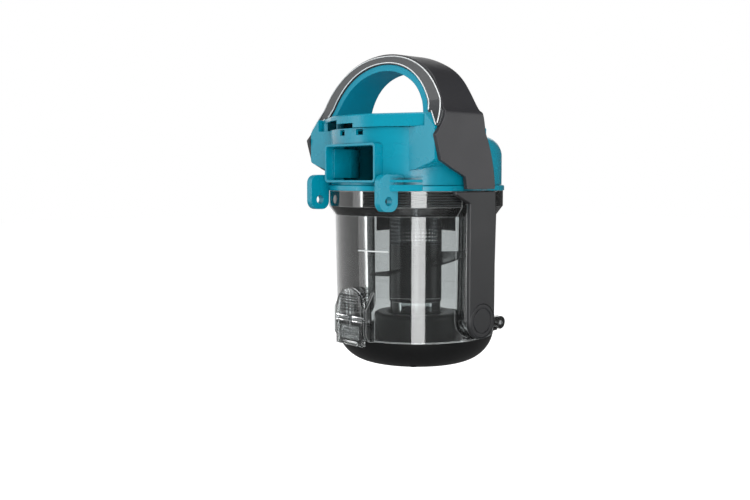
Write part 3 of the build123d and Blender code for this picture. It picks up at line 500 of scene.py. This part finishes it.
tree, given = new_tree("corner_screws", Width=LENGTH, Depth=LENGTH, Shank=LENGTH)
head = put(tree, "GeometryNodeMeshCone", {
    "Vertices": 40, "Radius Top": HEAD_TAPER * HEAD_RADIUS, "Radius Bottom": HEAD_RADIUS,
    "Depth": HEAD_HEIGHT})
bar = put(tree, "GeometryNodeMeshCube", {"Size": (RECESS_LENGTH, RECESS_WIDTH, RECESS_DEPTH)})
cross_bar = put(tree, "GeometryNodeMeshCube", {
    "Size": (RECESS_WIDTH, RECESS_LENGTH, RECESS_DEPTH)})
recess = put(tree, "GeometryNodeMeshBoolean", {"Mesh 1": head.outputs["Mesh"]},
             operation="DIFFERENCE")
for one in (bar, cross_bar):
    cutter = put(tree, "GeometryNodeTransform", {
        "Geometry": one.outputs["Mesh"], "Translation": (0, 0, HEAD_HEIGHT)})
    tree.links.new(cutter.outputs["Geometry"], recess.inputs["Mesh 2"])
shank = put(tree, "GeometryNodeMeshCylinder", {
    "Vertices": 24, "Radius": SHANK_RADIUS, "Depth": given["Shank"]})
shank_middle = put(tree, "ShaderNodeMath", {0: given["Shank"], 1: -0.5}, operation="MULTIPLY")
below_head = put(tree, "ShaderNodeCombineXYZ", {"Z": shank_middle.outputs[0]})
lowered = put(tree, "GeometryNodeTransform", {
    "Geometry": shank.outputs["Mesh"], "Translation": below_head.outputs[0]})
screw = put(tree, "GeometryNodeJoinGeometry")
tree.links.new(recess.outputs["Mesh"], screw.inputs[0])
tree.links.new(lowered.outputs["Geometry"], screw.inputs[0])
print("screw head in mm:", round(2 * HEAD_RADIUS / MM, 1), "across")

# %% A screw on each corner
corners = put(tree, "GeometryNodeMeshGrid", {
    "Size X": given["Width"], "Size Y": given["Depth"], "Vertices X": 2, "Vertices Y": 2})
turn = put(tree, "FunctionNodeRandomValue", {
    "Min": (0.0, 0.0, 0.0), "Max": (0.0, 0.0, 1.5), "Seed": 4}, data_type="FLOAT_VECTOR")
screws = put(tree, "GeometryNodeInstanceOnPoints", {
    "Points": corners.outputs["Mesh"], "Instance": screw.outputs["Geometry"],
    "Rotation": turn.outputs[0]})
real = put(tree, "GeometryNodeRealizeInstances", {"Geometry": screws.outputs["Instances"]})
plated = put(tree, "GeometryNodeSetMaterial", {
    "Geometry": real.outputs["Geometry"], "Material": zinc})
put(tree, "NodeGroupOutput", {"Geometry": plated.outputs["Geometry"]})
screw_tree = tree


def set_screws(name, node, body):
    """Recessed screws in place of a node of plain ones, one at each corner of its box."""
    low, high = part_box(node)
    piece = grow(name, screw_tree, bpy.data.meshes.new("empty"),
                 Width=high.x - low.x - 2 * HEAD_RADIUS, Depth=high.y - low.y - 2 * HEAD_RADIUS,
                 Shank=high.z - low.z - HEAD_HEIGHT)
    middle = Vector(((low.x + high.x) / 2, (low.y + high.y) / 2, high.z - HEAD_HEIGHT))
    piece.data.transform(Matrix.Translation(middle))
    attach(piece, body)
    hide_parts(node)


set_screws("plate_screws_recessed", "plate_screws", "upper_unit")
set_screws("lid_screws_recessed", "lid_screws", "lid")

# %% [markdown]
# ## Swept lines
# Several thin lines are one small circle swept along a path: the pale lines on the handle, painted
# as highlights, the noses of the ring's ribs and the fill line. One tree sweeps them all. Each
# path is an edge mesh whose points come from a formula.

# %% A tree that sweeps a bead
tree, given = new_tree("swept_bead", Radius=LENGTH, Finish=MATERIAL)
path = put(tree, "GeometryNodeMeshToCurve", {"Mesh": given["Geometry"]})
rim = put(tree, "GeometryNodeCurvePrimitiveCircle", {
    "Resolution": 10, "Radius": given["Radius"]})
swept = put(tree, "GeometryNodeCurveToMesh", {
    "Curve": path.outputs["Curve"], "Profile Curve": rim.outputs["Curve"], "Fill Caps": True})
smooth = put(tree, "GeometryNodeSetShadeSmooth", {"Geometry": swept.outputs["Mesh"]})
finished = put(tree, "GeometryNodeSetMaterial", {
    "Geometry": smooth.outputs["Geometry"], "Material": given["Finish"]})
put(tree, "NodeGroupOutput", {"Geometry": finished.outputs["Geometry"]})
bead_tree = tree


def chain(count, first=0):
    """Edges that join count + 1 points in a row."""
    return [(first + step, first + step + 1) for step in range(count)]


def sweep(name, points, edges, radius, finish, body):
    """A bead along a path of points and edges, on a body and in a material slot."""
    mesh = bpy.data.meshes.new(name)
    mesh.from_pydata(points, edges, [])
    piece = grow(name, bead_tree, mesh, Radius=radius, Finish=finish)
    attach(piece, body)


print("bead tree has", len(bead_tree.nodes), "nodes")

# %% [markdown]
# ## Bright lines on the handle, painted as highlights
# A thin near-white bead runs along both edges of the grey band, from one foot over the hoop to the
# other: a painted highlight for the light on the band's rounded edges. It follows a slightly
# squared half oval in front view and the band's slope in side view.

# %% Path of the beads
band_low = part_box("handle_trim")[0]
shell_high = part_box("handle_shell")[1]
hoop_spring = shell_high.z - 84 * MM    # where the half oval starts
SQUARENESS = 0.93
# heights where the band's front face changes: start and end of its curve, then its crest
knee_low, knee_high, crest = (hoop_spring + rise * MM for rise in (8.7, 38.7, 87.0))
# the front face in mm: at the lower knee, how it curves back, at the upper knee, its lean above
KNEE_LOW_FRONT, SLOPE, CURVE = -63.7, 20.3, -4.1
KNEE_HIGH_FRONT, LEAN = -47.5, 6.5


def on_hoop(half_width, rise, angle):
    """Point of the squared half oval, as (x, z)."""
    c, s = cos(angle), sin(angle)
    side = 1 if c > 0 else -1
    return side * half_width * abs(c) ** SQUARENESS, hoop_spring + rise * abs(s) ** SQUARENESS


def band_front(z):
    """Where the band's front face lies at a height: a curve, then a straight lean."""
    if z > knee_high:
        return (KNEE_HIGH_FRONT + LEAN * (z - knee_high) / (crest - knee_high)) * MM
    share = max(0.0, (z - knee_low) / (knee_high - knee_low))
    return (KNEE_LOW_FRONT + SLOPE * share + CURVE * share ** 2) * MM


print("hoop springs at", round(hoop_spring / MM, 1), "mm")

# %% Sweep the beads
BEAD_RADIUS = 0.55 * MM
BEAD_STEPS = 120
BEAD_SINK = 0.15 * MM   # the bead's middle lies this far behind the face
# half width, rise and foot above the band's low end, in mm
BAND_LINES = {"band_line_outer": (88.0, 82.0, 2), "band_line_inner": (74.0, 76.2, 14)}
for name, (half_width, rise, foot) in BAND_LINES.items():
    climb = (band_low.z + foot * MM - hoop_spring) / (rise * MM)
    start = asin(min(1.0, max(0.0, climb)) ** (1 / SQUARENESS))
    points = []
    for step in range(BEAD_STEPS + 1):
        turn = start + (pi - 2 * start) * step / BEAD_STEPS
        x, z = on_hoop(half_width * MM, rise * MM, turn)
        points.append((x, band_front(z) + BEAD_SINK, z))
    sweep(name, points, chain(BEAD_STEPS), BEAD_RADIUS, highlight_bead_finish, "upper_unit")

# straight beads along the sloping feet, as (x, z) of their ends
FOOT_ENDS = ((73.8 * MM, 228.8 * MM), (85.6 * MM, 216.6 * MM))
FOOT_LIFT, FOOT_PROUD = 0.2 * MM, 0.1 * MM
for side, hand in ((-1, "left"), (1, "right")):
    ends = [(side * x, band_front(z + FOOT_LIFT) - FOOT_PROUD, z + FOOT_LIFT)
            for x, z in FOOT_ENDS]
    sweep(f"foot_line_{hand}", ends, chain(1), BEAD_RADIUS, highlight_bead_finish, "upper_unit")

# %% [markdown]
# ## Ribs of the push-fit ring
# The black ring that plugs into the bin's collar has five ribs with rounded noses, and each nose
# shows as one fine pale line through the clear collar, a highlight painted into the noses' colour.
# The noses are closed circles, just proud of the solid model's square ribs.

# %% Round noses on the ribs
ring_low, ring_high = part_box("seal_ring")
RIBS = 5
RIB_PITCH = 2.3 * MM
NOSE_RADIUS = 0.5 * MM
NOSE_STEPS = 160
first_rib = ring_low.z + 1.15 * MM
nose_centre = ring_high.x - 0.35 * MM
points, edges = [], []
for rib in range(RIBS):
    first = len(points)
    for step in range(NOSE_STEPS):
        turn = 2 * pi * step / NOSE_STEPS
        points.append((nose_centre * cos(turn), nose_centre * sin(turn),
                       first_rib + rib * RIB_PITCH))
    edges += [*chain(NOSE_STEPS - 1, first), (first + NOSE_STEPS - 1, first)]
# black ABS painted paler on the noses: partly a guess at wear where they slide in the collar, and
# partly a painted highlight, drawn stronger than wear would be, standing in for highlights too
# fine to show
nose_wear_and_highlight = moulded("black_abs_nose_painted_highlight_and_wear", "#55585A", "#8E9193", 0.2, 0.8, 0.002, edge_mm=0.2,
                     coat=0.4)
sweep("ring_noses", points, edges, NOSE_RADIUS, nose_wear_and_highlight, "upper_unit")

# %% [markdown]
# ## Fill line
# A short raised line on the front of the bin says how full it may get. It is an arc painted pale:
# a painted reflection, standing for a light line on the wall.

# %% Sweep the fill line
painted_reflection_finish, tree = new_material("pale_san_painted_reflection")
place = put(tree, "ShaderNodeTexCoord").outputs["Object"]
pale_speckle = put(tree, "ShaderNodeTexNoise", {"Vector": place, "Scale": 1 / (0.6 * MM), "Detail": 2.0})
# the pale colour of the line is a painted reflection
pale = put(tree, "ShaderNodeMix", {
    "Factor": pale_speckle.outputs["Fac"], "A": colour("#C9CECF"), "B": colour("#E6EAEA")},
    data_type="RGBA")
shader = put(tree, "ShaderNodeBsdfPrincipled", {
    "Base Color": pale.outputs["Result"], "Roughness": 0.5, "IOR": 1.57})
put(tree, "ShaderNodeOutputMaterial", {"Surface": shader.outputs["BSDF"]})

FILL_HEIGHT = 107 * MM
FILL_RADIUS = 75.9 * MM
FILL_START, FILL_END = radians(-86), radians(-62)
FILL_STEPS = 24
arc = [FILL_START + (FILL_END - FILL_START) * step / FILL_STEPS for step in range(FILL_STEPS + 1)]
points = [(FILL_RADIUS * cos(turn), FILL_RADIUS * sin(turn), FILL_HEIGHT) for turn in arc]
sweep("fill_line", points, chain(FILL_STEPS), BEAD_RADIUS, painted_reflection_finish, "bin")

# %% [markdown]
# ## Grip ridges and studs on the release button
# The button is pressed with a fingertip at its upper half, where low ridges keep the finger from
# slipping. Behind the clear face is a grid of stiffening studs that glitter. Both are one small
# shape repeated in rows, so one tree makes both.


# %% Two small shapes
def closed_mesh(name, points, faces):
    """A closed mesh from points and faces, with every face turned outwards."""
    bm = bmesh.new()
    corners = [bm.verts.new(point) for point in points]
    for face in faces:
        bm.faces.new([corners[at] for at in face])
    bmesh.ops.recalc_face_normals(bm, faces=bm.faces)
    mesh = bpy.data.meshes.new(name)
    bm.to_mesh(mesh)
    bm.free()
    return mesh


def wedge(width, depth, height):
    """A low bar with a roof-shaped front, lying along X, its front towards -Y."""
    points = [(x, y, z) for x in (-width / 2, width / 2)
              for y, z in ((depth, -height / 2), (0, 0), (depth, height / 2))]
    return closed_mesh("wedge", points, [
        (0, 2, 1), (3, 4, 5), (0, 1, 4, 3), (1, 2, 5, 4), (2, 0, 3, 5)])


def stud(width, depth):
    """A four-sided pyramid on its base, its tip towards +Y."""
    base = [(x * width / 2, 0, z * width / 2) for x, z in ((-1, -1), (1, -1), (1, 1), (-1, 1))]
    return closed_mesh("stud", [*base, (0, depth, 0)], [
        (0, 1, 2, 3), (0, 1, 4), (1, 2, 4), (2, 3, 4), (3, 0, 4)])


# %% A tree that repeats a shape in rows
tree, given = new_tree("rows", Columns=COUNT, Rows=COUNT, Wide=LENGTH, High=LENGTH)
board = put(tree, "GeometryNodeMeshGrid", {
    "Size X": given["Wide"], "Size Y": given["High"],
    "Vertices X": given["Columns"], "Vertices Y": given["Rows"]})
upright = put(tree, "GeometryNodeTransform", {
    "Geometry": board.outputs["Mesh"], "Rotation": (pi / 2, 0, 0)})
copies = put(tree, "GeometryNodeInstanceOnPoints", {
    "Points": upright.outputs["Geometry"], "Instance": given["Geometry"]})
real = put(tree, "GeometryNodeRealizeInstances", {"Geometry": copies.outputs["Instances"]})
clear = put(tree, "GeometryNodeSetMaterial", {
    "Geometry": real.outputs["Geometry"], "Material": button_pc})
put(tree, "NodeGroupOutput", {"Geometry": clear.outputs["Geometry"]})
row_tree = tree


def rows_on_button(name, start, middle, **counts):
    """Repeats a start shape over the button, centred at middle."""
    piece = grow(name, row_tree, start, **counts)
    piece.data.transform(Matrix.Translation(middle))
    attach(piece, "button")


print("row tree has", len(row_tree.nodes), "nodes")

# %% Ridges and studs
button_low, button_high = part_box("release_button")
button_face = button_low.y + 0.6 * MM
RIDGE_WIDTH, RIDGE_DEPTH, RIDGE_HEIGHT = 24 * MM, 0.45 * MM, 1.6 * MM
RIDGE_ROWS = 6
ridged_height = 13 * MM
ridge_middle = (0, button_face - RIDGE_DEPTH, button_high.z - ridged_height)
rows_on_button("button_ridges", wedge(RIDGE_WIDTH, RIDGE_DEPTH, RIDGE_HEIGHT), ridge_middle,
               Columns=2, Rows=RIDGE_ROWS, Wide=0.0, High=ridged_height)

STUD_WIDTH, STUD_DEPTH, STUD_PITCH = 2.8 * MM, 1.3 * MM, 3.2 * MM
STUD_COLUMNS, STUD_ROWS = 8, 4
stud_middle = (0, button_face + 2.25 * MM, 33 * MM)
rows_on_button("button_studs", stud(STUD_WIDTH, STUD_DEPTH), stud_middle, Columns=STUD_COLUMNS,
               Rows=STUD_ROWS, Wide=(STUD_COLUMNS - 1) * STUD_PITCH,
               High=(STUD_ROWS - 1) * STUD_PITCH)

# %% [markdown]
# ## Stage, lights and camera
# The floor lies well below the container, because the lid swings down past its own resting face
# when the button lets go, and the container is shown held up. Three upright strip lights, behind
# the camera and to its left and right, give the long reflections on the round walls. A light
# behind and one overhead fill the rest, and a white card at the left is there for its reflection.
# The floor and the sky look white to the camera but stay dim in reflections, so blacks stay black.

# %% Floor
FLOOR_HEIGHT = -150 * MM
FLOOR_HALF = 6.0
FLOOR_GLOW = 0.72
FLOOR_SHADE, FLOOR_SHADE_IN_GLOSS = 0.86, 0.2

floor_material, tree = new_material("pale_paper")
place = put(tree, "ShaderNodeTexCoord").outputs["Object"]
fibre = put(tree, "ShaderNodeTexNoise", {"Vector": place, "Scale": 1 / (3 * MM), "Detail": 2.0})
ray = put(tree, "ShaderNodeLightPath").outputs
dim_in_gloss = put(tree, "ShaderNodeMapRange", {
    "Value": ray["Is Glossy Ray"], "To Min": FLOOR_SHADE, "To Max": FLOOR_SHADE_IN_GLOSS})
shade = put(tree, "ShaderNodeMath", {
    0: fibre.outputs["Fac"], 1: 0.04, 2: dim_in_gloss.outputs["Result"]},
    operation="MULTIPLY_ADD")
glow = put(tree, "ShaderNodeMath", {0: ray["Is Camera Ray"], 1: FLOOR_GLOW},
           operation="MULTIPLY")
paper = put(tree, "ShaderNodeBsdfPrincipled", {
    "Base Color": shade.outputs["Value"], "Roughness": 0.8, "Specular IOR Level": 0.2,
    "Emission Color": colour(WHITE), "Emission Strength": glow.outputs[0]})
put(tree, "ShaderNodeOutputMaterial", {"Surface": paper.outputs["BSDF"]})

mesh = bpy.data.meshes.new("floor")
mesh.from_pydata([(x * FLOOR_HALF, y * FLOOR_HALF, FLOOR_HEIGHT)
                  for x, y in ((-1, -1), (1, -1), (1, 1), (-1, 1))], [], [(0, 1, 2, 3)])
floor = bpy.data.objects.new("floor", mesh)
bpy.context.collection.objects.link(floor)
floor.data.materials.append(floor_material)
print("floor", round(FLOOR_HEIGHT / MM), "mm below the lid's resting face")

# %% World
SKY_TO_CAMERA, SKY, SKY_IN_GLOSS = 1.0, 0.34, 0.08
world = bpy.data.worlds.new("studio")
bpy.context.scene.world = world
world.use_nodes = True
tree = world.node_tree
tree.nodes.clear()
ray = put(tree, "ShaderNodeLightPath").outputs
dim_in_gloss = put(tree, "ShaderNodeMapRange", {
    "Value": ray["Is Glossy Ray"], "To Min": SKY, "To Max": SKY_IN_GLOSS})
strength = put(tree, "ShaderNodeMapRange", {
    "Value": ray["Is Camera Ray"], "To Min": dim_in_gloss.outputs["Result"],
    "To Max": SKY_TO_CAMERA})
sky = put(tree, "ShaderNodeBackground", {
    "Color": colour(WHITE), "Strength": strength.outputs["Result"]})
put(tree, "ShaderNodeOutputWorld", {"Surface": sky.outputs["Background"]})
bpy.context.scene.view_settings.view_transform = "Standard"
print("sky strength:", SKY_TO_CAMERA, "to the camera,", SKY, "as light,", SKY_IN_GLOSS, "in gloss")

# %% Lights
body_middle = Vector((0, 0, 0.14))
CAMERA_SIDE = radians(-43.5)
# turn from the camera's side in degrees; height, distance, width and tall in metres; brightness;
# and the height it is aimed at, where that isn't its own
LIGHTS = {
    "strip_behind_camera": (4, 0.38, 0.8, 0.26, 1.05, 6.5),
    "strip_left": (-79, 0.36, 1.1, 0.26, 1.0, 2.6),
    "strip_right": (88, 0.43, 1.5, 0.8, 1.14, 1.6),
    "back_fill": (180, 0.7, 1.6, 1.0, 1.0, 1.2),
    "overhead": (-30, 1.5, 0.5, 1.2, 1.2, 2.0, body_middle.z),
    "card_left": (-125, 0.36, 1.2, 1.9, 1.0, 1.1),
}


def soft_light(name, turn, height, distance, width, tall, brightness, aim=None):
    """A soft rectangular light at an angle round the object, level unless it has an aim."""
    lamp = bpy.data.lights.new(name, "AREA")
    lamp.shape = "RECTANGLE"
    lamp.size, lamp.size_y = width, tall
    lamp.energy = brightness * width * tall * pi
    made = bpy.data.objects.new(name, lamp)
    bpy.context.collection.objects.link(made)
    side = CAMERA_SIDE + radians(turn)
    made.location = (distance * cos(side), distance * sin(side), height)
    target = Vector((0, 0, height if aim is None else aim))
    made.rotation_euler = (target - made.location).to_track_quat("-Z", "Y").to_euler()
    made.visible_camera = False
    return made


lights = {name: soft_light(name, *sizes) for name, sizes in LIGHTS.items()}
# the card veils the clear bin with its reflection, and lights nothing
lights["card_left"].visible_diffuse = False
print("lights:", list(lights))

# %% Camera
camera_data = bpy.data.cameras.new("camera")
camera_data.lens = 43.57
camera_data.sensor_width = 36.0
camera = bpy.data.objects.new("camera", camera_data)
bpy.context.collection.objects.link(camera)
camera.location = (0.6299, -0.5978, 0.1728)
camera.rotation_euler = (radians(90 - 4.59), 0, radians(49.06))
bpy.context.scene.camera = camera
print("camera is", round((camera.location - body_middle).length, 3), "m from the middle")
